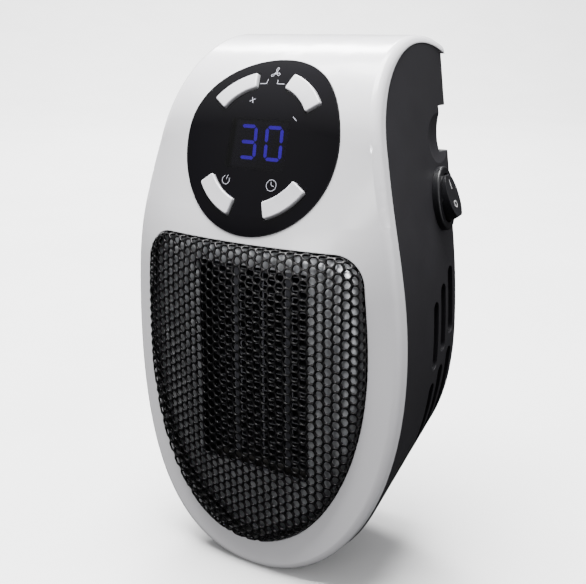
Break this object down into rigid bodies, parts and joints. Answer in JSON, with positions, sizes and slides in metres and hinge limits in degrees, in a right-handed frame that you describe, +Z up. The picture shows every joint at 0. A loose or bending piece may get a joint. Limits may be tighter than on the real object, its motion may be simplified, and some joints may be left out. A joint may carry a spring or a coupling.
{
  "type": "ceramic heater",
  "caption": "Plug-in ceramic fan heater with a domed grille, round control panel, side rocker switch and a turning plug.",
  "frame": {"origin": "on the plug's axis at the flat face of the plug, where it meets the socket", "axes": "+Y out of the plug's face towards the socket, along the pins; -Y to the front; +Z up; +X to the side with the rocker switch"},
  "size_m": [0.1016, 0.1025, 0.17],
  "materials": {
    "white_gloss": "glossy moulded",
    "black_housing": "fine satin texture",
    "black_grille": "satin black",
    "grey_shield": "light grey, satin",
    "fin_metal": "blackened",
    "bar_metal": "blackened",
    "stone": "matte",
    "heat_plastic": "heat-proof moulded",
    "duct_plastic": "heat-proof moulded",
    "fan_plastic": "moulded",
    "steel": "plated",
    "motor_steel": "plated can",
    "brass": "plain",
    "pin_metal": "nickel plated",
    "panel_gloss": "smoked, polished",
    "button_silver": "silver-white satin",
    "digit_light": "lit blue-violet",
    "module_black": "moulded",
    "board_green": "lacquered board",
    "relay_blue": "moulded",
    "capacitor_yellow": "moulded",
    "switch_black": "polished",
    "plug_black": "moulded"
  },
  "bodies": {
    "plug": {"plug_shell": "plug_black", "plug_pins": "pin_metal", "plug_turntable": "plug_black", "slip_rings": "brass", "turntable_retainer": "plug_black", "turntable_screws": "steel"},
    "housing": {"front_cover": "white_gloss", "rear_housing": "black_housing", "grille": "black_grille", "heat_shield": "grey_shield", "fin_strips": "fin_metal", "core_bars": "bar_metal", "heating_stones": "stone", "core_side_plates": "bar_metal", "core_end_caps": "heat_plastic", "core_terminals": "brass", "fan_duct": "duct_plastic", "duct_screws": "steel", "thermal_cutout": "steel", "fan_motor": "motor_steel", "motor_bracket": "duct_plastic", "bracket_screws": "steel", "control_panel": "panel_gloss", "display_module": "module_black", "display_spacer": "module_black", "display_segments": "digit_light", "control_board": "board_green", "key_switches": "module_black", "power_board": "board_green", "relay": "relay_blue", "capacitor": "capacitor_yellow", "contact_springs": "brass", "board_screws": "steel", "switch_body": "switch_black", "switch_tabs": "brass", "housing_screws": "steel"},
    "fan": {"fan_impeller": "fan_plastic", "motor_shaft": "steel"},
    "temp_up_button": {"temp_up_button": "button_silver"},
    "temp_down_button": {"temp_down_button": "button_silver"},
    "power_button": {"power_button": "button_silver"},
    "timer_button": {"timer_button": "button_silver"},
    "switch_rocker": {"switch_rocker": "switch_black"}
  },
  "joints": [
    {"name": "plug_swivel", "type": "hinge", "parent": "plug", "child": "housing", "pos_m": [0, 0, 0], "axis": [0, 1, 0], "range_deg": [-90, 90]},
    {"name": "fan_spin", "type": "hinge", "parent": "housing", "child": "fan", "pos_m": [0, -0.045, -0.0733], "axis": [0, 1, 0], "continuous": true},
    {"name": "rocker_hinge", "type": "hinge", "parent": "housing", "child": "switch_rocker", "pos_m": [0.04164, -0.02801, -0.02109], "axis": [-0.1167, 0.9932, 0], "range_deg": [0, 24]},
    {"name": "temp_up_button_press", "type": "slide", "parent": "housing", "child": "temp_up_button", "axis": [0, 1, 0], "range_m": [0, 0.0005], "stiffness_N_per_m": 2000, "springref_m": -0.0002},
    {"name": "temp_down_button_press", "type": "slide", "parent": "housing", "child": "temp_down_button", "axis": [0, 1, 0], "range_m": [0, 0.0005], "stiffness_N_per_m": 2000, "springref_m": -0.0002},
    {"name": "power_button_press", "type": "slide", "parent": "housing", "child": "power_button", "axis": [0, 1, 0], "range_m": [0, 0.0005], "stiffness_N_per_m": 2000, "springref_m": -0.0002},
    {"name": "timer_button_press", "type": "slide", "parent": "housing", "child": "timer_button", "axis": [0, 1, 0], "range_m": [0, 0.0005], "stiffness_N_per_m": 2000, "springref_m": -0.0002}
  ]
}
